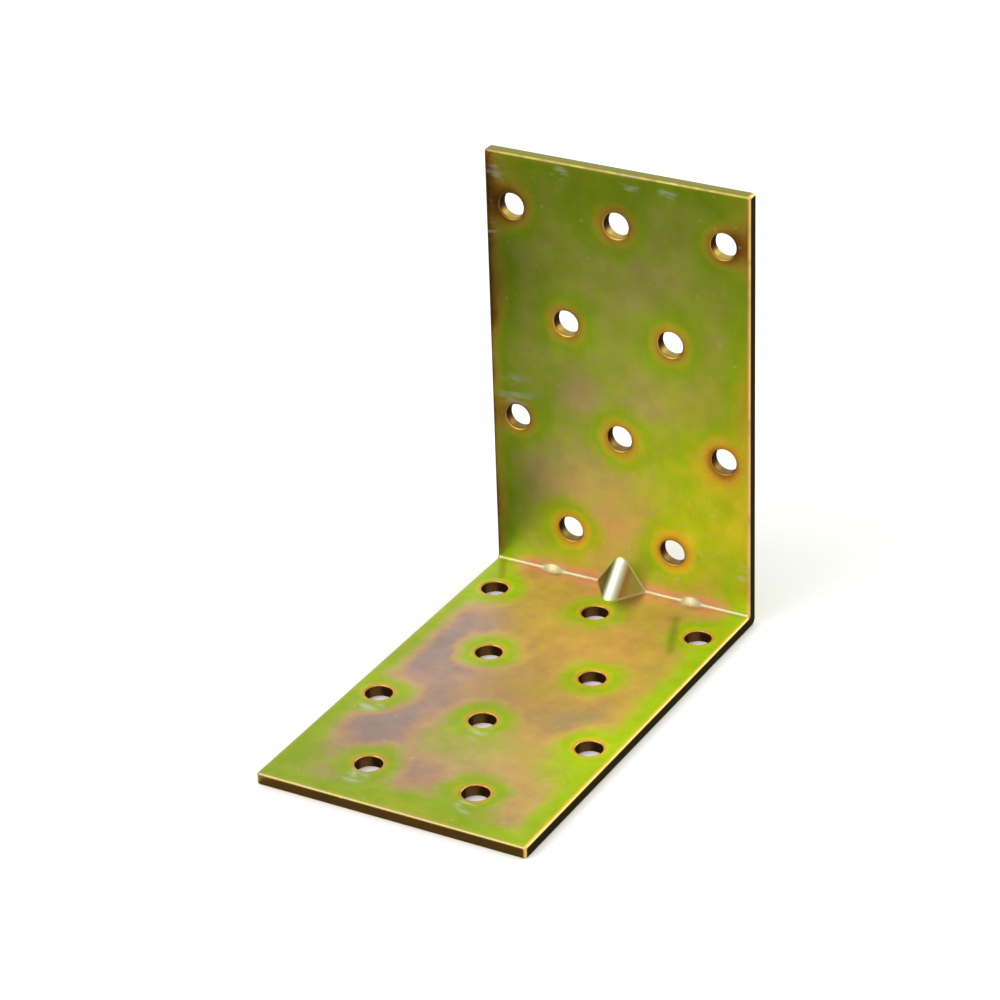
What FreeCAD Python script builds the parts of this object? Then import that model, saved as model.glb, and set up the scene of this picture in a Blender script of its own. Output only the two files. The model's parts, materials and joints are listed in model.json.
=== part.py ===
# Perforated corner plate: one strip of steel, punched, folded to a right angle and
# stiffened by a gusset pressed into the bend. All sizes are in millimetres.
# X runs along the bend, Y from the free end of the base to the back of the upright, Z up.
# The origin is under the middle of the base, so the plate stands on the plane Z = 0.

import FreeCAD
import Part
import math
import os
from FreeCAD import Vector

# Strip and fold
plate_width = 60.0
plate_thickness = 2.5
base_length = 99.5            # free end of the base to the back of the upright
upright_height = 97.2         # underside of the base to the top of the upright
bend_inner_radius = 0.8
bend_outer_radius = 1.4       # struck sharper than the sheet is thick

# Edges: tumbling has rounded the inner ones more than the outer ones
corner_radius = 0.75          # plan corners of both free ends
inner_edge_radius = 0.6
outer_edge_radius = 0.25

# Punched holes: rows of three and rows of two by turns, staggered by half a column
hole_diameter = 5.5
hole_mouth_radius = 0.45      # rounding on the inner faces, where the punch goes in
hole_exit_radius = 0.15       # rounding on the outer faces
row_pitch = 24.0
side_web = 2.2                # flat sheet between an outer hole and the rounded side edge
gusset_web = 1.9              # flat sheet between the gusset's ridge and the hole below it
upright_web = 7.8             # from the inner corner up to the nearest holes
row_end_margin = 8.0          # least distance from a row to a free end

# Gusset pressed into the bend from the outside
gusset_reach = 7.1            # how far its ridge climbs both inner faces
gusset_width = 11.8           # between its two tips, along the inner corner
gusset_tool_radius = 0.4      # nose of the pressing tool, which shapes the hollow
gusset_thinning = 0.8         # how much thinner the sheet is where the tool stretched it
gusset_foot_radius = 0.5      # blend between the gusset and the inner faces
gusset_rim_radius = 0.6       # blend between the hollow and the outer faces

# Two small swells in the bend, one each side of the gusset
swell_inset = 13.6            # from the side of the plate to the middle of the swell
swell_length = 5.2
swell_reach = 1.35            # how far each climbs the inner faces

# Places that follow from the sizes above
side_x = plate_width / 2
back_y = base_length / 2
free_end_y = back_y - base_length
inner_y = back_y - plate_thickness
inner_corner = Vector(0, inner_y, plate_thickness)
hole_radius = hole_diameter / 2
mouth_reach = hole_radius + hole_mouth_radius
column_pitch = side_x - inner_edge_radius - side_web - mouth_reach
base_first_row = plate_thickness + gusset_reach + gusset_web + mouth_reach
upright_first_row = plate_thickness + upright_web + mouth_reach
gusset_wall = plate_thickness - gusset_thinning
gusset_ridge_radius = gusset_tool_radius + gusset_wall

# Directions and closeness
across = Vector(1, 0, 0)
out_of_corner = Vector(0, -1, 1).normalize()
down_the_ridge = Vector(0, -1, -1).normalize()
diagonal_share = math.sqrt(0.5)     # of a reach along both faces, square to the bisector
touch = 0.001                       # two places closer than this are the same
smooth_turn = math.radians(5)       # faces that turn less than this run into each other


def face_line(upright_y, base_z, bend_radius):
    """One face of the folded sheet seen end on: upright, bend and base."""
    x = -side_x
    centre = Vector(x, upright_y - bend_radius, base_z + bend_radius)
    upright_foot = centre + Vector(0, bend_radius, 0)
    bend_middle = centre - out_of_corner * bend_radius
    base_start = centre - Vector(0, 0, bend_radius)
    return [
        Part.makeLine(Vector(x, upright_y, upright_height), upright_foot),
        Part.Arc(upright_foot, bend_middle, base_start).toShape(),
        Part.makeLine(base_start, Vector(x, free_end_y, base_z)),
    ]


def inner_line():
    return face_line(inner_y, plate_thickness, bend_inner_radius)


def outer_line():
    return face_line(back_y, 0, bend_outer_radius)


def sheet_face(line):
    """One face of the sheet over its whole width."""
    return Part.Wire(line).extrude(across * plate_width)


def folded_strip():
    """The plain sheet, folded, with square edges."""
    inner, outer = inner_line(), outer_line()
    top_edge = Part.makeLine(outer[0].Vertexes[0].Point, inner[0].Vertexes[0].Point)
    free_edge = Part.makeLine(inner[-1].Vertexes[-1].Point, outer[-1].Vertexes[-1].Point)
    outline = Part.Wire(inner + [free_edge] + outer[::-1] + [top_edge])
    return Part.Face(outline).extrude(across * plate_width)


def is_sharp(solid, edge):
    """True where the two faces that meet in the edge don't run smoothly into each other."""
    middle = edge.valueAt((edge.FirstParameter + edge.LastParameter) / 2)
    normals = []
    for face in solid.ancestorsOfType(edge, Part.Face):
        u, v = face.Surface.parameter(middle)
        normals.append(face.normalAt(u, v))
    return len(normals) == 2 and normals[0].getAngle(normals[1]) > smooth_turn


def sharp_edges_on(solid, skin):
    """The sharp edges of the solid that lie in one face of the sheet."""
    found = []
    for edge in solid.Edges:
        middle = Part.Vertex(edge.valueAt((edge.FirstParameter + edge.LastParameter) / 2))
        if middle.distToShape(skin)[0] < touch and is_sharp(solid, edge):
            found.append(edge)
    return found


def plan_corner_edges(strip):
    """The short edges through the sheet at the corners of both free ends."""
    found = []
    for edge in strip.Edges:
        box = edge.BoundBox
        at_free_end = box.YMax < free_end_y + touch
        at_top = box.ZMin > upright_height - touch
        if (at_free_end or at_top) and box.XLength < touch:
            found.append(edge)
    return found


def row_columns(row):
    """Where the holes of a row stand along X; odd rows are the narrow ones."""
    if row % 2:
        return [-column_pitch / 2, column_pitch / 2]
    return [-column_pitch, 0, column_pitch]


def row_places(first_row, leg_length):
    """How far each row stands from the outer corner, as far as rows fit on the leg."""
    places = []
    place = first_row
    while place < leg_length - row_end_margin:
        places.append(place)
        place += row_pitch
    return places


def punch(place, direction):
    """A cutter for one hole, from just outside one face to just past the other."""
    return Part.makeCylinder(hole_radius, plate_thickness + 2 * touch, place, direction)


def punches():
    """Cutters for every hole: the base starts with a wide row, the upright with a narrow one."""
    cutters = []
    for row, place in enumerate(row_places(base_first_row, base_length)):
        for x in row_columns(row):
            cutters.append(punch(Vector(x, back_y - place, -touch), Vector(0, 0, 1)))
    for row, place in enumerate(row_places(upright_first_row, upright_height)):
        for x in row_columns(row + 1):
            cutters.append(punch(Vector(x, inner_y - touch, place), Vector(0, 1, 0)))
    return cutters


def bar_point(x, height, length):
    """A point in the upper end face of a bar in the bend, at a height over the corner."""
    return inner_corner + across * x + out_of_corner * height - down_the_ridge * length / 2


def bar_in_bend(outline, length):
    """A bar of this outline, square to the bisector of the bend and centred on its corner."""
    return Part.Face(Part.Wire(outline)).extrude(down_the_ridge * length)


def roof_bar(nose_radius):
    """A bar shaped like a roof with a round ridge.

    Every bar made here has the same nose centre and the same slope on its flanks, so two
    bars of different nose radius lie one inside the other with an even wall between them.
    """
    centre_height = gusset_reach * diagonal_share - gusset_ridge_radius
    tip_x = gusset_width / 2
    slope = math.atan2(centre_height, tip_x)
    slope += math.asin(gusset_ridge_radius / math.hypot(tip_x, centre_height))
    depth = 2 * plate_thickness
    foot_x = (nose_radius + (centre_height + depth) * math.cos(slope)) / math.sin(slope)
    tangent_x = nose_radius * math.sin(slope)
    tangent_height = centre_height + nose_radius * math.cos(slope)
    length = 4 * (gusset_reach + plate_thickness)
    left_foot = bar_point(-foot_x, -depth, length)
    left_tangent = bar_point(-tangent_x, tangent_height, length)
    crown = bar_point(0, centre_height + nose_radius, length)
    right_tangent = bar_point(tangent_x, tangent_height, length)
    right_foot = bar_point(foot_x, -depth, length)
    outline = [
        Part.makeLine(left_foot, left_tangent),
        Part.Arc(left_tangent, crown, right_tangent).toShape(),
        Part.makeLine(right_tangent, right_foot),
        Part.makeLine(right_foot, left_foot),
    ]
    return bar_in_bend(outline, length)


def corner_block(size):
    """A block over the inner corner that starts half way through the sheet."""
    behind = plate_thickness / 2
    corner = Vector(-side_x, inner_y + behind - size, plate_thickness - behind)
    return Part.makeBox(plate_width, size, size, corner)


def gusset():
    return roof_bar(gusset_ridge_radius).common(corner_block(2 * gusset_reach))


def gusset_hollow():
    """What the pressing tool leaves in the outer faces."""
    return roof_bar(gusset_tool_radius)


def swell(x):
    """A shallow round swell that fills the bend over a short length."""
    height = swell_reach * diagonal_share
    half_length = swell_length / 2
    radius = (half_length ** 2 + height ** 2) / (2 * height)
    length = 4 * swell_reach
    left = bar_point(x - radius, height - radius, length)
    crown = bar_point(x, height, length)
    right = bar_point(x + radius, height - radius, length)
    outline = [Part.Arc(left, crown, right).toShape(), Part.makeLine(right, left)]
    return bar_in_bend(outline, length).common(corner_block(2 * swell_reach))


def corner_plate():
    inner_face, outer_face = sheet_face(inner_line()), sheet_face(outer_line())
    plate = folded_strip()
    plate = plate.makeFillet(corner_radius, plan_corner_edges(plate))
    plate = plate.makeFillet(inner_edge_radius, sharp_edges_on(plate, inner_face))
    plate = plate.makeFillet(outer_edge_radius, sharp_edges_on(plate, outer_face))
    plate = plate.cut(punches())
    plate = plate.makeFillet(hole_mouth_radius, sharp_edges_on(plate, inner_face))
    plate = plate.makeFillet(hole_exit_radius, sharp_edges_on(plate, outer_face))
    plate = plate.fuse(gusset())
    plate = plate.makeFillet(gusset_foot_radius, sharp_edges_on(plate, inner_face))
    plate = plate.cut(gusset_hollow())
    plate = plate.makeFillet(gusset_rim_radius, sharp_edges_on(plate, outer_face))
    swell_x = side_x - swell_inset
    return plate.fuse([swell(-swell_x), swell(swell_x)]).Solids[0]


if __name__ == "__main__":
    os.makedirs("parts", exist_ok=True)
    plate = corner_plate()
    print("corner plate", "valid" if plate.isValid() else "not valid", round(plate.Volume), "mm3")
    plate.exportStep("parts/corner_plate.step")
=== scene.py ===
import json
import math

import bmesh
import bpy
from mathutils import Matrix, Vector


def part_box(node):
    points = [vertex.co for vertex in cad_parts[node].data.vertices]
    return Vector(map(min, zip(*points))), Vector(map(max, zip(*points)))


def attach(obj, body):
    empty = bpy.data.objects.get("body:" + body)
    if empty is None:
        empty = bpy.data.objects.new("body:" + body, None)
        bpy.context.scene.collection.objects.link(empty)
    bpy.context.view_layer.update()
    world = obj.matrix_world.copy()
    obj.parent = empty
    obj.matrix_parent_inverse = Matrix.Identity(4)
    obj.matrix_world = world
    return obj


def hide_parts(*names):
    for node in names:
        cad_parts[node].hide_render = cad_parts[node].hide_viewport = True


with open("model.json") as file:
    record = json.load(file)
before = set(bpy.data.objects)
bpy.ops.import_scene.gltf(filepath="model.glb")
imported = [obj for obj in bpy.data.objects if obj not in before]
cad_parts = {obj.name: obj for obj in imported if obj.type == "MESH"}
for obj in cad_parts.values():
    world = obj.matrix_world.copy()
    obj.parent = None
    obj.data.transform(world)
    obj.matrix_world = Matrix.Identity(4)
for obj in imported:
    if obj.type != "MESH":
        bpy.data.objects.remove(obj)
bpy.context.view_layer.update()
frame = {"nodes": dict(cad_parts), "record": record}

mm = 0.001
print("frame loaded")


# Small helpers for node trees. A value is either a socket to link or a constant to set.

def feed(tree, value, socket):
    if isinstance(value, bpy.types.NodeSocket):
        tree.links.new(value, socket)
    else:
        socket.default_value = value


def addNode(tree, kind, values=None, **settings):
    node = tree.nodes.new(kind)
    for name, value in settings.items():
        setattr(node, name, value)
    for key, value in (values or {}).items():
        feed(tree, value, node.inputs[key])
    return node


def calc(tree, operation, *values):
    return addNode(tree, "ShaderNodeMath", dict(enumerate(values)), operation=operation).outputs[0]


def calcVector(tree, operation, *values):
    node = addNode(tree, "ShaderNodeVectorMath", dict(enumerate(values)), operation=operation)
    return node.outputs["Value" if operation in ("DISTANCE", "LENGTH", "DOT_PRODUCT") else "Vector"]


def scaled(tree, vector, factor):
    values = {0: vector, "Scale": factor}
    return addNode(tree, "ShaderNodeVectorMath", values, operation="SCALE").outputs["Vector"]


def fade(tree, value, start, end, low=0.0, high=1.0):      # smooth change from low to high
    values = {"Value": value, "From Min": start, "From Max": end, "To Min": low, "To Max": high}
    return addNode(tree, "ShaderNodeMapRange", values, interpolation_type="SMOOTHSTEP").outputs[0]


def mixed(tree, mask, under, over):                        # one colour over another
    return addNode(tree, "ShaderNodeMix", {0: mask, 6: under, 7: over}, data_type="RGBA").outputs[2]


# The plate: a copy of the CAD shape, cut to a fine grid and finished by a node tree

plate = {
    "node": "corner_plate",
    "body": "root",
    "slot": "plated_steel",
    "thickness": 2.5 * mm,
    "cell": 1.25 * mm,            # grid that the flat faces are cut to
    "quickCell": 2.5 * mm,
    "merge": 0.001 * mm,
    "axisLength": 6 * mm,         # of the lines that mark the perforations, longer than the sheet is thick
    "flatWithin": 0.2,            # degrees, faces that turn less are one flat face
    "dishDepth": 0.05 * mm,       # how far the punch drew the sheet down round each perforation
    "dishReach": 1.8 * mm,
    "waveHeight": 0.07 * mm,      # gentle unevenness of rolled strip
    "waveLength": 24 * mm,
    "stiffReach": 22 * mm,        # the fold holds the sheet straight this far
    "seed": 5,
}


def griddedCopy(source, cell):
    mesh = bmesh.new()
    mesh.from_mesh(source.data)
    bmesh.ops.remove_doubles(mesh, verts=mesh.verts, dist=plate["merge"])
    bmesh.ops.dissolve_limit(mesh, angle_limit=math.radians(plate["flatWithin"]), verts=mesh.verts, edges=mesh.edges)
    low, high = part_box(source.name)
    for axis in range(3):
        normal = Vector([axis == i for i in range(3)])
        for step in range(round((high[axis] - low[axis]) / cell)):
            cut = low + normal * cell * (step + 0.5)
            everything = mesh.verts[:] + mesh.edges[:] + mesh.faces[:]
            bmesh.ops.bisect_plane(mesh, geom=everything, dist=plate["merge"], plane_co=cut, plane_no=normal)
    made = bpy.data.meshes.new("plate")
    mesh.to_mesh(made)
    mesh.free()
    return made


def perforationPatterns():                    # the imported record's hole patterns: name, middle, spacing, turn
    found = []
    for mount in frame["record"]["mounts"]:
        if mount["kind"] == "bolt_pattern":
            dims = mount["dims"]
            spacing = Vector((dims.get("spacing_x_mm", 0), dims.get("spacing_y_mm", 0), 0)) * mm
            turn = Vector((0, 0, 1)).rotation_difference(Vector(mount["axis"])).to_euler()
            found.append((mount["name"].replace("_", " ").title(), Vector(mount["pos_m"]), spacing, turn))
    return found


def sheetTree(patterns):
    tree = bpy.data.node_groups.new("perforatedSheet", "GeometryNodeTree")

    def newInput(name, kind):
        tree.interface.new_socket(name, in_out="INPUT", socket_type=kind)

    newInput("Geometry", "NodeSocketGeometry")
    for name, *_ in patterns:
        newInput(name + " Middle", "NodeSocketVector")
        newInput(name + " Spacing", "NodeSocketVector")
        newInput(name + " Turn", "NodeSocketRotation")
    for name in ("Hole Radius", "Dish Depth", "Dish Reach", "Wave Height", "Wave Length", "Stiff Reach"):
        newInput(name, "NodeSocketFloat")
    newInput("Seed", "NodeSocketFloat")
    for name in ("Inner Corner", "Far Corner"):
        newInput(name, "NodeSocketVector")
    newInput("Finish", "NodeSocketMaterial")
    tree.interface.new_socket("Geometry", in_out="OUTPUT", socket_type="NodeSocketGeometry")
    given = addNode(tree, "NodeGroupInput").outputs

    # every perforation's axis: a short line on each corner of each pattern's grid
    start = (0, 0, -plate["axisLength"] / 2)
    values = {"Count": 2, "Start Location": start, "Offset": (0, 0, plate["axisLength"])}
    axisLine = addNode(tree, "GeometryNodeMeshLine", values).outputs["Mesh"]
    axes = addNode(tree, "GeometryNodeJoinGeometry")
    for name, *_ in patterns:
        size = addNode(tree, "ShaderNodeSeparateXYZ", {0: given[name + " Spacing"]}).outputs
        values = {"Size X": size["X"], "Size Y": size["Y"], "Vertices X": 2, "Vertices Y": 2}
        corners = addNode(tree, "GeometryNodeMeshGrid", values).outputs["Mesh"]
        lines = addNode(tree, "GeometryNodeInstanceOnPoints", {"Points": corners, "Instance": axisLine})
        placed = addNode(tree, "GeometryNodeTransform", {
            "Geometry": lines.outputs[0], "Translation": given[name + " Middle"], "Rotation": given[name + " Turn"]})
        feed(tree, placed.outputs[0], axes.inputs[0])
    lines = addNode(tree, "GeometryNodeRealizeInstances", {0: axes.outputs[0]}).outputs[0]
    toAxis = addNode(tree, "GeometryNodeProximity", {0: lines}, target_element="EDGES").outputs["Distance"]

    # distance from the fold and from the outline, and how far pressed places stand off both faces
    position = addNode(tree, "GeometryNodeInputPosition").outputs[0]
    fromCorner = calcVector(tree, "SUBTRACT", position, given["Inner Corner"])
    toFold = calcVector(tree, "LENGTH", calcVector(tree, "MULTIPLY", fromCorner, (0, 1, 1)))
    here = addNode(tree, "ShaderNodeSeparateXYZ", {0: position}).outputs
    far = addNode(tree, "ShaderNodeSeparateXYZ", {0: given["Far Corner"]}).outputs
    toSide = calc(tree, "SUBTRACT", far["X"], calc(tree, "ABSOLUTE", here["X"]))
    toFreeEnd = calc(tree, "ADD", far["Y"], here["Y"])
    toTop = calc(tree, "SUBTRACT", far["Z"], here["Z"])
    toOutline = calc(tree, "MINIMUM", toSide, calc(tree, "MINIMUM", toFreeEnd, toTop))
    inCorner = addNode(tree, "ShaderNodeSeparateXYZ", {0: fromCorner}).outputs
    lift = calc(tree, "MINIMUM", calc(tree, "MULTIPLY", inCorner["Y"], -1.0), inCorner["Z"])

    # the sheet bows a little away from the fold, and is drawn in where each punch went through
    onUpright = fade(tree, here["Z"], 2 * plate["thickness"], 4 * plate["thickness"])
    values = {0: onUpright, 4: (0, 0, 1), 5: (0, -1, 0)}
    inward = addNode(tree, "ShaderNodeMix", values, data_type="VECTOR").outputs[1]
    facing = calcVector(tree, "DOT_PRODUCT", addNode(tree, "GeometryNodeInputNormal").outputs[0], inward)
    scale = calc(tree, "DIVIDE", 1.0, given["Wave Length"])
    values = {"Vector": position, "W": given["Seed"], "Scale": scale, "Detail": 2.0}
    unevenness = addNode(tree, "ShaderNodeTexNoise", values, noise_dimensions="4D").outputs[0]
    wave = calc(tree, "MULTIPLY", calc(tree, "MULTIPLY", unevenness, given["Wave Height"]),
                fade(tree, toFold, 0.0, given["Stiff Reach"]))
    rimGap = calc(tree, "DIVIDE", calc(tree, "SUBTRACT", toAxis, given["Hole Radius"]), given["Dish Reach"])
    dish = calc(tree, "MULTIPLY", calc(tree, "MULTIPLY", fade(tree, rimGap, 1.0, 0.0), given["Dish Depth"]),
                calc(tree, "MAXIMUM", facing, 0.0))
    offset = scaled(tree, inward, calc(tree, "SUBTRACT", wave, dish))

    shape = given["Geometry"]
    stored = {"holeDistance": toAxis, "foldDistance": toFold, "outlineDistance": toOutline, "pressedLift": lift}
    for name, distance in stored.items():
        values = {"Geometry": shape, "Name": name, "Value": calc(tree, "DIVIDE", distance, mm)}
        shape = addNode(tree, "GeometryNodeStoreNamedAttribute", values).outputs[0]
    shape = addNode(tree, "GeometryNodeSetPosition", {"Geometry": shape, "Offset": offset}).outputs[0]
    shape = addNode(tree, "GeometryNodeSetShadeSmooth", {"Geometry": shape}).outputs[0]
    shape = addNode(tree, "GeometryNodeRealizeInstances", {0: shape}).outputs[0]
    shape = addNode(tree, "GeometryNodeSetMaterial", {"Geometry": shape, "Material": given["Finish"]}).outputs[0]
    addNode(tree, "NodeGroupOutput", {0: shape})
    return tree


def finishedPlate(material):
    node = frame["nodes"][plate["node"]]
    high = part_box(plate["node"])[1]
    cell = plate["cell"]
    draft = bpy.data.objects.new("plateDraft", griddedCopy(node, cell))
    bpy.context.scene.collection.objects.link(draft)
    print("plate cut to a grid:", len(draft.data.polygons), "faces")
    patterns = perforationPatterns()
    bores = [mount["dims"]["hole_r_mm"] for mount in frame["record"]["mounts"] if mount["kind"] == "bolt_pattern"]
    values = {
        "Hole Radius": bores[0] * mm,
        "Dish Depth": plate["dishDepth"], "Dish Reach": plate["dishReach"],
        "Wave Height": plate["waveHeight"], "Wave Length": plate["waveLength"], "Stiff Reach": plate["stiffReach"],
        "Seed": float(plate["seed"]),
        "Inner Corner": Vector((0, high.y - plate["thickness"], plate["thickness"])),
        "Far Corner": high,
        "Finish": material,
    }
    for name, middle, spacing, turn in patterns:
        values.update({name + " Middle": middle, name + " Spacing": spacing, name + " Turn": turn})
    modifier = draft.modifiers.new("perforatedSheet", "NODES")
    modifier.node_group = sheetTree(patterns)
    for item in modifier.node_group.interface.items_tree:
        if item.in_out == "INPUT" and item.name in values:
            modifier[item.identifier] = values[item.name]
    shown = draft.evaluated_get(bpy.context.evaluated_depsgraph_get())
    made = bpy.data.meshes.new_from_object(shown)
    draft.modifiers.remove(modifier)
    draft.data = made
    draft.name = "folded_plate"
    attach(draft, plate["body"])
    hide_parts(plate["node"])
    print("plate finished:", len(made.polygons), "faces,", len(patterns), "perforation patterns")
    return draft


# The finish: zinc under a yellow passivation film, whose colour follows how thick the film is, with painted light
# and shade laid over it.
# Places and lengths are in millimetres, as the attributes on the plate are.

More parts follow.
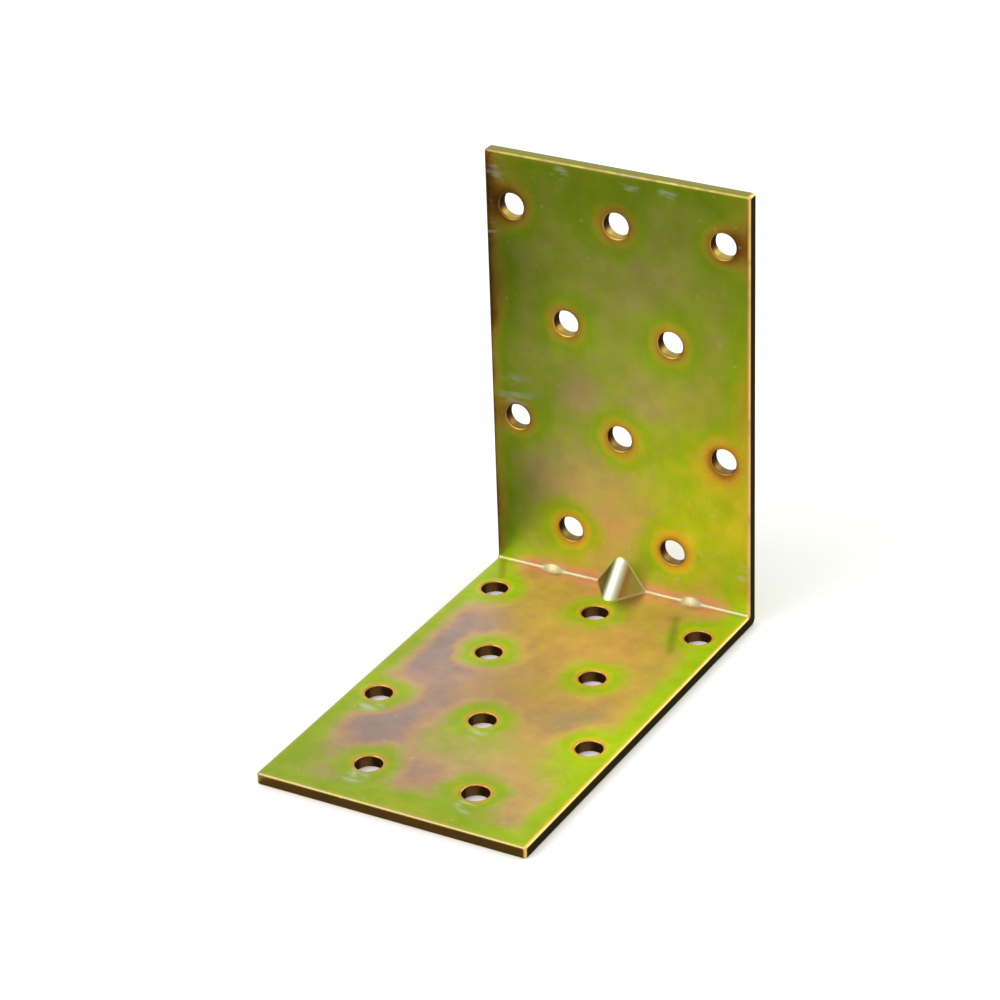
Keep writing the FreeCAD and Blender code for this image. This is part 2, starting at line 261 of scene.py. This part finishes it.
finish = {
    "metallic": 0.95,
    "roughness": 0.40,
    "roughnessSpread": 0.12,
    "filmColors": [                           # film from thin to thick
        (0.00, (0.16, 0.07, 0.012)),          # dark bronze
        (0.14, (0.42, 0.19, 0.022)),          # rust
        (0.26, (0.64, 0.42, 0.045)),          # gold
        (0.36, (0.56, 0.54, 0.035)),          # yellow green
        (0.46, (0.38, 0.54, 0.018)),          # green
        (0.57, (0.48, 0.51, 0.07)),           # olive
        (0.66, (0.54, 0.46, 0.15)),           # beige
        (0.76, (0.63, 0.42, 0.19)),           # tan
        (0.86, (0.60, 0.37, 0.21)),           # salmon
        (0.93, (0.53, 0.34, 0.24)),           # pink
        (1.00, (0.45, 0.32, 0.27)),           # mauve
    ],
    "baseFilm": 0.455,                        # next to edges and perforations
    "clearReach": (4.2, 10.0),                # from this far off a perforation the film grows, up to here
    "outlineReach": (1.5, 8.0),
    "wanderSize": 6.0,
    "reachWander": 1.6,                       # how far clouds push these limits in and out
    "clearGrowth": (0.36, 0.10),              # on the base and on the upright
    "ringStart": 3.0,
    "ringPower": 1.6,
    "ringDepth": 0.26,                        # thinner film at the rim of a perforation
    "ringReach": (4.5, 6.4),                  # on the base and on the upright
    "outlineRing": 0.10,
    "outlineRingReach": 1.4,
    "thickPatches": {                         # middle, radius, how much thicker the film is there
        "mauveLeft": ((-25, 8, 2.5), 32, 0.24),
        "mauveFrontLeft": ((-18, -26, 2.5), 15, 0.28),
        "mauveMiddleLeft": ((-14, -12, 2.5), 13, 0.14),
        "mauveFront": ((-2, -36, 2.5), 11, 0.32),
        "pinkRight": ((16, -6, 2.5), 12, 0.12),
        "greenRight": ((26, -20, 2.5), 17, -0.30),
        "greenFront": ((0, -48, 2.5), 22, -0.40),
        "greenFrontLeft": ((-28, -38, 2.5), 17, -0.34),
        "oliveMiddle": ((1, -22, 2.5), 17, -0.24),
        "orangeBack": ((-12, 31, 2.5), 10, -0.08),
        "tanLow": ((-4, 47, 20), 26, 0.15),
        "tanLowLeft": ((-16, 47, 24), 12, 0.08),
        "mauveMiddle": ((-9, 47, 46), 8, 0.14),
        "mauveRight": ((6, 47, 46), 10, 0.12),
        "mauveUpper": ((7, 47, 75), 11, 0.07),
    },
    "thinPatches": {                          # these reach the edges too
        "brownTopLeft": ((-33, 47, 88), 17, 0.25),
        "brownLeft": ((-35, 47, 66), 16, 0.26),
        "brownTopRight": ((32, 47, 87), 12, 0.28),
        "goldRight": ((34, 47, 50), 15, 0.16),
        "goldLowRight": ((18, 47, 28), 24, 0.14),
        "goldTop": ((-10, 47, 88), 12, 0.06),
        "yellowBackRight": ((31, 40, 2.5), 12, 0.07),
        "yellowFront": ((6, -46, 2.5), 16, 0.05),
        "rightBend": ((31, 47, 8), 7, 0.16),
    },
    "leftBandDepth": 0.26,                    # thinner film along the left edge of the upright
    "paintedShadeAndLight": {                               # painted light and shade: broad lighter and darker places
        "frontLeft": ((-20, -42, 2.5), 52, -0.26),
        "left": ((-32, 8, 2.5), 24, -0.14),
        "right": ((31, -8, 2.5), 20, 0.12),
        "uprightLeft": ((-34, 47, 72), 24, -0.54),
        "uprightMiddle": ((-6, 47, 62), 44, 0.24),
        "uprightLow": ((-12, 47, 30), 16, 0.26),
        "middle": ((4, 0, 2.5), 22, -0.20),
        "front": ((14, -46, 2.5), 20, -0.14),
        "uprightLowRight": ((18, 47, 28), 24, 0.16),
    },
    "runs": {                                 # painted reflection: dark streaks on the base standing for dark things it mirrors: from, to, half width
        "right": ((16.5, 40, 2.5), (21.5, 27, 2.5), 1.5),
        "left": ((-28.5, 47, 2.5), (-25, 40, 2.5), 1.3),
    },
    "reflectionStreakColor": (0.27, 0.25, 0.03, 1),
    "cloudSize": 12.0,
    "cloudAmount": 0.20,
    "cloudShare": (1.0, 0.6),                 # on the base and on the upright
    "mottleSize": 3.0,
    "mottleAmount": 0.05,
    "toneSize": 4.5,
    "toneSpread": 0.16,                       # how much lighter and darker small spots are
    "reaches": {                              # where each part of the finish fades in, along its own distance
        "faceToUpright": (3.0, 6.0),
        "backFace": (1.5, 0.5),               # from the back of the plate
        "leftBand": (-26.0, -30.0),
        "shearedEnds": (0.12, 0.03),
        "shearedSides": (0.12, 0.03),
        "mouth": (3.25, 3.0),
        "bore": (2.9, 2.78),
        "litBoreTurn": (0.35, 0.9),           # how far up the bore's wall faces
        "litBoreHeight": (35.0, 75.0),
        "rubbedAndHighlit": (0.65, 0.3),
        "rubbedStart": (0.02, 0.15),
        "rightEdge": (0.9, 0.4),
        "fold": (0.85, 0.55),
        "inwardTurn": (0.0, 0.4),             # how far a surface faces into the fold
        "pressed": (0.05, 0.35),
        "pressedWidth": (9.0, 7.5),
        "swell": (1.6, 0.7),
        "scuffedBase": (1.5, 2.2),
        "scuffedUpright": (1.75, 2.15),       # from the back of the plate
        "scuffClear": (3.1, 3.4),
    },
    "wearAndHighlight": {                                 # size of the noise, its limits, and the shares they give
        "leftBand": (7.0, 0.3, 0.7, 0.4, 1.0),
        "mouth": (2.0, 0.3, 0.6, 0.2, 0.7),
        "rubbedAndHighlit": (2.5, 0.3, 0.7, 0.5, 1.0),
        "rightEdge": (4.0, 0.3, 0.6, 0.6, 1.0),
        "fold": (2.2, 0.38, 0.62, 0.1, 0.9),
        "runs": (3.0, 0.3, 0.6, 0.45, 0.7),
    },
    # painted shade: the bores are coloured near black for the shade inside them
    "boreShadeColor": (0.11, 0.05, 0.012, 1),
    "litBoreColor": (0.48, 0.35, 0.065, 1),   # painted light on the lower half of the bores through the upright, the wall that faces up
    # partly the film's rust ring, partly a painted highlight on the rounded rim of each perforation
    "mouthColor": (0.84, 0.54, 0.14, 1),
    "litBoreShare": (0.3, 1.0),               # in the lowest bores and in the highest ones
    "mouthShare": (1.0, 0.12),                # on the base and on the upright
    "frontColor": (0.33, 0.17, 0.034, 1),
    "topColor": (0.28, 0.26, 0.032, 1),
    # painted shade: the sheared sides are coloured near black
    "sideShadeColor": (0.10, 0.075, 0.012, 1),
    "edgeWearAndHighlightColor": (0.42, 0.37, 0.20, 1),       # film rubbed thin on the rounded edges, made pale as a painted highlight
    "topEdgeColor": (0.27, 0.20, 0.10, 1),
    # painted highlight on the rounded right edges
    "rightEdgeHighlightColor": (1.0, 0.60, 0.17, 1),
    "foldHighlightColor": (0.46, 0.39, 0.24, 1),
    "gussetLightAndShadeColors": [                         # painted highlight on the ridge and painted shade on the flanks, over the film's colours, across the gusset from its left tip to its right one
        (-5.0, (0.24, 0.19, 0.020)),
        (-3.0, (0.22, 0.18, 0.020)),
        (-2.3, (0.10, 0.16, 0.035)),
        (-1.5, (0.46, 0.52, 0.36)),
        (-0.6, (0.84, 0.83, 0.62)),
        (0.5, (0.86, 0.85, 0.68)),
        (1.3, (0.52, 0.48, 0.30)),
        (2.0, (0.32, 0.15, 0.030)),
        (3.2, (0.34, 0.25, 0.045)),
        (5.0, (0.33, 0.28, 0.060)),
    ],
    "gussetHalf": 6.0,
    # painted highlight on the two swells along the fold
    "swellPlace": 16.4,
    "swellHighlightColor": (0.60, 0.63, 0.36, 1),
    "swellHalf": 3.2,
    "swellReach": 1.7,
    "swellRaggedSize": 1.5,
    "swellRagged": 0.8,
    "swellShare": 0.85,
    "scuffs": {                               # middle, radius
        "frontLeftHole": ((-12, -42, 2.5), 3.5),
        "frontRightHole": ((13, -42, 2.5), 3.5),
        "leftHole": ((-23, -18, 2.5), 3.5),
        "middleHole": ((2, -17.5, 2.5), 3.5),
        "uprightLeft": ((-24, 47.2, 43), 6.0),
        "topLeft": ((-28, 47.2, 93.5), 4.5),
        "topMiddleLeft": ((-12, 47.2, 94.8), 2.6),
        "topMiddle": ((3, 47.2, 95.2), 3.2),
        "topMiddleRight": ((12, 47.2, 95.2), 3.2),
        "leftEdge": ((-30, 47.2, 80), 4.0),
        "rightBend": ((29, 47.2, 12), 3.5),
    },
    "scuffColor": (0.60, 0.66, 0.52, 1),
    "scuffShare": 0.6,
    "scuffCore": 0.3,                         # share of a scuff's radius where it is full
    "streakSize": 2.4,
    "streakStretch": (0.5, 1.6, 1.6),
    "streakLimits": (0.46, 0.66),
    "speckSize": 1.2,                         # fine pale specks all over
    "speckLimits": (0.70, 0.80),
    "speckShare": 0.6,
    "markedRoughness": 0.15,                  # how much rougher scuffs and swells are
    "grainSize": 0.35,
    "grainBump": 0.0008,
    "cloudBumpSize": 5.0,
    "cloudBump": 0.012,
}


def platedFinish():
    material = bpy.data.materials.new("yellowPassivatedZinc")
    material.use_nodes = True
    tree = material.node_tree
    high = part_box(plate["node"])[1] / mm

    def attribute(name):
        return addNode(tree, "ShaderNodeAttribute", attribute_name=name).outputs["Fac"]

    def noise(size, detail=3.0, stretch=(1, 1, 1)):
        at = calcVector(tree, "MULTIPLY", place, tuple(k / size for k in stretch))
        return addNode(tree, "ShaderNodeTexNoise", {"Vector": at, "Scale": 1.0, "Detail": detail}).outputs["Fac"]

    def reach(distance, name, *shares):
        return fade(tree, distance, *finish["reaches"][name], *shares)

    def byLeg(name):                          # one value on the base and another on the upright
        return fade(tree, onUpright, 0.0, 1.0, *finish[name])

    # patchy noise, for rubbed film and for breaking up the painted highlights and reflections
    def patchyWearAndHighlight(name):
        size, start, end, low, high = finish["wearAndHighlight"][name]
        return fade(tree, noise(size), start, end, low, high)

    def blend(mask, under, over):
        return mixed(tree, mask, under, over)

    def centred(value, amount):               # from 0..1 to as much below zero as above
        return calc(tree, "MULTIPLY_ADD", value, 2 * amount, -amount)

    def product(first, *others):
        for other in others:
            first = calc(tree, "MULTIPLY", first, other)
        return first

    def patchwork(patches, start):
        for middle, radius, amount in patches.values():
            away = calcVector(tree, "DISTANCE", place, middle)
            start = calc(tree, "ADD", fade(tree, away, radius, 0.0, 0.0, amount), start)
        return start

    def ramp(value, start, end, colors):
        share = addNode(tree, "ShaderNodeMapRange", {"Value": value, "From Min": start, "From Max": end}).outputs[0]
        node = addNode(tree, "ShaderNodeValToRGB", {0: share})
        stops = node.color_ramp.elements
        while len(stops) < len(colors):
            stops.new(0.5)
        for stop, (level, color) in zip(stops, colors):
            stop.position, stop.color = (level - start) / (end - start), (*color, 1)
        return node.outputs["Color"]

    coordinates = addNode(tree, "ShaderNodeTexCoord").outputs
    place = scaled(tree, coordinates["Object"], 1 / mm)
    axis = addNode(tree, "ShaderNodeSeparateXYZ", {0: place}).outputs
    facing = addNode(tree, "ShaderNodeSeparateXYZ", {0: coordinates["Normal"]}).outputs
    inward = reach(calc(tree, "SUBTRACT", facing["Z"], facing["Y"]), "inwardTurn")
    fromMiddle = calc(tree, "ABSOLUTE", axis["X"])
    toPerforation, toFold = attribute("holeDistance"), attribute("foldDistance")
    toOutline, lift = attribute("outlineDistance"), attribute("pressedLift")
    fromBack = calc(tree, "SUBTRACT", high.y, axis["Y"])
    fromSide = calc(tree, "SUBTRACT", high.x, fromMiddle)
    onUpright = calc(tree, "MAXIMUM", reach(axis["Z"], "faceToUpright"), reach(fromBack, "backFace"))
    cloud = noise(finish["cloudSize"])

    # how thick the film is
    wander = centred(noise(finish["wanderSize"]), finish["reachWander"])
    clear = product(fade(tree, calc(tree, "ADD", toPerforation, wander), *finish["clearReach"]),
                    fade(tree, calc(tree, "ADD", toOutline, wander), *finish["outlineReach"]))
    growth = patchwork(finish["thickPatches"], byLeg("clearGrowth"))
    clouds = product(centred(cloud, finish["cloudAmount"]), byLeg("cloudShare"))
    mottles = centred(noise(finish["mottleSize"]), finish["mottleAmount"])
    ringReach = byLeg("ringReach")
    ringWidth = calc(tree, "SUBTRACT", ringReach, finish["ringStart"])
    ringShare = calc(tree, "DIVIDE", calc(tree, "SUBTRACT", ringReach, toPerforation), ringWidth)
    ringRise = calc(tree, "POWER", calc(tree, "MAXIMUM", ringShare, 0.0), finish["ringPower"])
    ring = product(ringRise, finish["ringDepth"])
    rim = fade(tree, toOutline, finish["outlineRingReach"], 0.0, 0.0, finish["outlineRing"])
    film = calc(tree, "ADD", product(clear, calc(tree, "ADD", growth, clouds)), finish["baseFilm"])
    film = calc(tree, "ADD", film, mottles)
    leftBand = product(onUpright, reach(axis["X"], "leftBand"), patchyWearAndHighlight("leftBand"), finish["leftBandDepth"])
    for thinner in (ring, rim, leftBand, patchwork(finish["thinPatches"], 0.0)):
        film = calc(tree, "SUBTRACT", film, thinner)
    darkest, lightest = 1 - finish["toneSpread"] / 2, 1 + finish["toneSpread"] / 2
    toneAndPaintedShade = fade(tree, noise(finish["toneSize"], 5.0), 0.25, 0.75, darkest, lightest)
    # painted light and shade: broad places made lighter or darker, on top of the random tone
    toneAndPaintedShade = product(toneAndPaintedShade, patchwork(finish["paintedShadeAndLight"], 1.0))
    color = scaled(tree, ramp(film, 0.0, 1.0, finish["filmColors"]), toneAndPaintedShade)

    # painted reflection: dark streaks on the base
    for start, end, halfWidth in finish["runs"].values():
        along = Vector(end) - Vector(start)
        fromStart = calcVector(tree, "SUBTRACT", place, start)
        share = calcVector(tree, "DOT_PRODUCT", fromStart, along / along.length_squared)
        nearest = scaled(tree, along, calc(tree, "MINIMUM", calc(tree, "MAXIMUM", share, 0.0), 1.0))
        away = calcVector(tree, "DISTANCE", fromStart, nearest)
        run = product(fade(tree, away, halfWidth, 0.0), patchyWearAndHighlight("runs"))
        color = blend(run, color, finish["reflectionStreakColor"])

    # sheared faces and bores, rounded edges, the fold and the pressed places: painted shade on the sides and in the
    # bores, painted highlights on the rounded edges, the fold, the gusset's ridge and the swells
    cut = blend(onUpright, finish["frontColor"], finish["topColor"])
    color = blend(reach(toOutline, "shearedEnds"), color, cut)
    # painted shade on the sheared sides
    color = blend(reach(fromSide, "shearedSides"), color, finish["sideShadeColor"])
    # partly the film's rust ring, partly a painted highlight on the rounded rims
    mouth = product(reach(toPerforation, "mouth"), patchyWearAndHighlight("mouth"), byLeg("mouthShare"))
    color = blend(mouth, color, finish["mouthColor"])
    # painted shade in the bores, with painted light on the upward-facing wall of the upright's bores
    litShare = reach(axis["Z"], "litBoreHeight", *finish["litBoreShare"])
    lit = product(onUpright, reach(facing["Z"], "litBoreTurn"), litShare)
    bore = blend(lit, finish["boreShadeColor"], finish["litBoreColor"])
    color = blend(reach(toPerforation, "bore"), color, bore)
    # the rounded edges: film rubbed thin, partly a painted highlight
    rubbedAndHighlit = product(reach(toOutline, "rubbedAndHighlit"), reach(toOutline, "rubbedStart"), patchyWearAndHighlight("rubbedAndHighlit"))
    color = blend(rubbedAndHighlit, color, blend(onUpright, finish["edgeWearAndHighlightColor"], finish["topEdgeColor"]))
    # painted highlight along the rounded right edges
    fromRight = calc(tree, "SUBTRACT", high.x, axis["X"])
    onFace = reach(fromSide, "shearedSides", 1.0, 0.0)
    color = blend(product(reach(fromRight, "rightEdge"), onFace, patchyWearAndHighlight("rightEdge")), color, finish["rightEdgeHighlightColor"])
    # painted highlight along the inside of the fold
    color = blend(product(reach(toFold, "fold"), patchyWearAndHighlight("fold")), color, finish["foldHighlightColor"])
    pressed = product(inward, reach(lift, "pressed"), reach(fromMiddle, "pressedWidth"))
    # painted highlight on the gusset's ridge and painted shade on its flanks
    gussetLightAndShade = ramp(axis["X"], -finish["gussetHalf"], finish["gussetHalf"], finish["gussetLightAndShadeColors"])
    # painted highlight on the swells, with ragged edges
    swellGap = calc(tree, "DIVIDE", calc(tree, "SUBTRACT", fromMiddle, finish["swellPlace"]), finish["swellHalf"])
    swellFold = calc(tree, "DIVIDE", toFold, finish["swellReach"])
    swellAway = calc(tree, "SQRT", calc(tree, "ADD", product(swellGap, swellGap), product(swellFold, swellFold)))
    ragged = calc(tree, "MULTIPLY_ADD", noise(finish["swellRaggedSize"]), finish["swellRagged"], swellAway)
    swell = product(reach(ragged, "swell"), finish["swellShare"])
    color = blend(pressed, color, gussetLightAndShade)
    color = blend(swell, color, finish["swellHighlightColor"])

    # scuffs: short pale marks in a few places
    spots = 0.0
    for middle, radius in finish["scuffs"].values():
        away = calcVector(tree, "DISTANCE", place, middle)
        spots = calc(tree, "ADD", fade(tree, away, radius, radius * finish["scuffCore"]), spots)
    streaks = fade(tree, noise(finish["streakSize"], 2.0, finish["streakStretch"]), *finish["streakLimits"])
    specks = fade(tree, noise(finish["speckSize"], 1.0), *finish["speckLimits"], 0.0, finish["speckShare"])
    marks = calc(tree, "MAXIMUM", product(spots, streaks), specks)
    innerFace = product(reach(axis["Z"], "scuffedBase"), reach(fromBack, "scuffedUpright"), onFace)
    scuff = product(marks, reach(toPerforation, "scuffClear"), innerFace, finish["scuffShare"])
    color = blend(scuff, color, finish["scuffColor"])

    smoothest = finish["roughness"] - finish["roughnessSpread"] / 2
    rough = calc(tree, "MULTIPLY_ADD", cloud, finish["roughnessSpread"], smoothest)
    for mark in (scuff, swell):
        rough = calc(tree, "MULTIPLY_ADD", mark, finish["markedRoughness"], rough)
    grain = product(noise(finish["grainSize"]), finish["grainBump"])
    height = calc(tree, "ADD", grain, product(noise(finish["cloudBumpSize"], 2.0), finish["cloudBump"]))
    bump = addNode(tree, "ShaderNodeBump", {"Height": height, "Distance": mm, "Strength": 1.0})
    surface = tree.nodes["Principled BSDF"]
    surface.inputs["Metallic"].default_value = finish["metallic"]
    feed(tree, color, surface.inputs["Base Color"])
    feed(tree, rough, surface.inputs["Roughness"])
    feed(tree, bump.outputs[0], surface.inputs["Normal"])
    print("finish mixed:", len(tree.nodes), "nodes")
    return material


# Studio: pale floor, soft light, and a camera at the photograph's angle

studio = {
    "floorSize": 60.0,
    "floorColor": (0.96, 0.96, 0.955, 1),
    "skyColor": (1.0, 1.0, 1.0, 1),
    "groundColor": (0.08, 0.08, 0.077, 1),    # what the metal reflects from below, darker than the floor itself
    "horizonBlur": 0.25,
    "cardDirection": (0.77, -0.44, -0.47),    # a low white card, seen only in the rounded right edges
    "cardSpread": (0.55, 0.9),
    "cardColor": (0.9, 0.9, 0.88, 1),
    "worldStrength": 1.0,
    "aim": (0, 0, 0.04),
    "lights": {                               # place, size, watts, colour
        "keySoftbox": ((-0.5, -0.7, 0.75), 0.9, 5, (1, 0.98, 0.95)),
        "backSoftbox": ((0.55, 0.75, 0.5), 0.6, 2, (1, 1, 1)),
    },
    "frontCard": {                            # a white card on the floor that only reflections show
        "place": (-0.044, -0.052, 0.0002),
        "size": (0.028, 0.095),
        "softEnds": 0.02,
        "strength": 0.8,
    },
    "cameraPlace": (0.312909, -0.544578, 0.378002),
    "cameraRight": (0.87347398, 0.48590245, -0.03069187),
    "cameraForward": (-0.44222811, 0.76543496, -0.46748649),
    "sensor": 36.0,
    "lens": 130.457,
}


def flatSheet(name, width, depth, values):
    x, y = width / 2, depth / 2
    mesh = bpy.data.meshes.new(name)
    mesh.from_pydata([(-x, -y, 0), (x, -y, 0), (x, y, 0), (-x, y, 0)], [], [(0, 1, 2, 3)])
    sheet = bpy.data.objects.new(name, mesh)
    bpy.context.scene.collection.objects.link(sheet)
    material = bpy.data.materials.new(name)
    material.use_nodes = True
    surface = material.node_tree.nodes["Principled BSDF"]
    for key, value in values.items():
        surface.inputs[key].default_value = value
    mesh.materials.append(material)
    return sheet


def makeFloor():
    values = {"Base Color": studio["floorColor"], "Roughness": 0.9, "Specular IOR Level": 0.0}
    floor = flatSheet("floor", studio["floorSize"], studio["floorSize"], values)
    floor.visible_glossy = False              # the metal reflects the studio, not the white floor


def makeFrontCard():
    card = studio["frontCard"]
    values = {"Base Color": (0, 0, 0, 1), "Emission Color": (1, 1, 1, 1)}
    sheet = flatSheet("frontCard", *card["size"], values)
    sheet.location = card["place"]
    tree = sheet.active_material.node_tree
    place = addNode(tree, "ShaderNodeTexCoord").outputs["Object"]
    fromMiddle = calc(tree, "ABSOLUTE", addNode(tree, "ShaderNodeSeparateXYZ", {0: place}).outputs["Y"])
    end = card["size"][1] / 2
    strength = fade(tree, fromMiddle, end, end - card["softEnds"], 0.0, card["strength"])
    feed(tree, strength, tree.nodes["Principled BSDF"].inputs["Emission Strength"])
    sheet.visible_camera = sheet.visible_diffuse = sheet.visible_shadow = False


def makeLights():
    world = bpy.data.worlds.new("studioWorld")
    world.use_nodes = True
    tree = world.node_tree
    direction = addNode(tree, "ShaderNodeTexCoord").outputs["Generated"]
    height = addNode(tree, "ShaderNodeSeparateXYZ", {0: direction}).outputs["Z"]
    above = fade(tree, height, -studio["horizonBlur"], studio["horizonBlur"])
    sky = mixed(tree, above, studio["groundColor"], studio["skyColor"])
    toCard = calcVector(tree, "DOT_PRODUCT", direction, studio["cardDirection"])
    sky = mixed(tree, fade(tree, toCard, *studio["cardSpread"]), sky, studio["cardColor"])
    background = tree.nodes["Background"]
    feed(tree, sky, background.inputs["Color"])
    background.inputs["Strength"].default_value = studio["worldStrength"]
    bpy.context.scene.world = world
    for name, (place, size, watts, color) in studio["lights"].items():
        light = bpy.data.lights.new(name, "AREA")
        light.size, light.energy, light.color = size, watts, color
        lamp = bpy.data.objects.new(name, light)
        lamp.location = place
        lamp.rotation_euler = (Vector(studio["aim"]) - Vector(place)).to_track_quat("-Z", "Y").to_euler()
        bpy.context.scene.collection.objects.link(lamp)


def makeCamera():
    camera = bpy.data.cameras.new("camera")
    camera.sensor_width = studio["sensor"]
    camera.lens = studio["lens"]
    holder = bpy.data.objects.new("camera", camera)
    right, forward = Vector(studio["cameraRight"]), Vector(studio["cameraForward"])
    turn = Matrix((right, right.cross(forward), -forward)).transposed()
    holder.matrix_world = Matrix.Translation(studio["cameraPlace"]) @ turn.to_4x4()
    bpy.context.scene.collection.objects.link(holder)
    bpy.context.scene.camera = holder


makeFloor()
makeFrontCard()
makeLights()
makeCamera()
bpy.context.scene.view_settings.view_transform = "Standard"
print("studio ready")

finishedPlate(platedFinish())
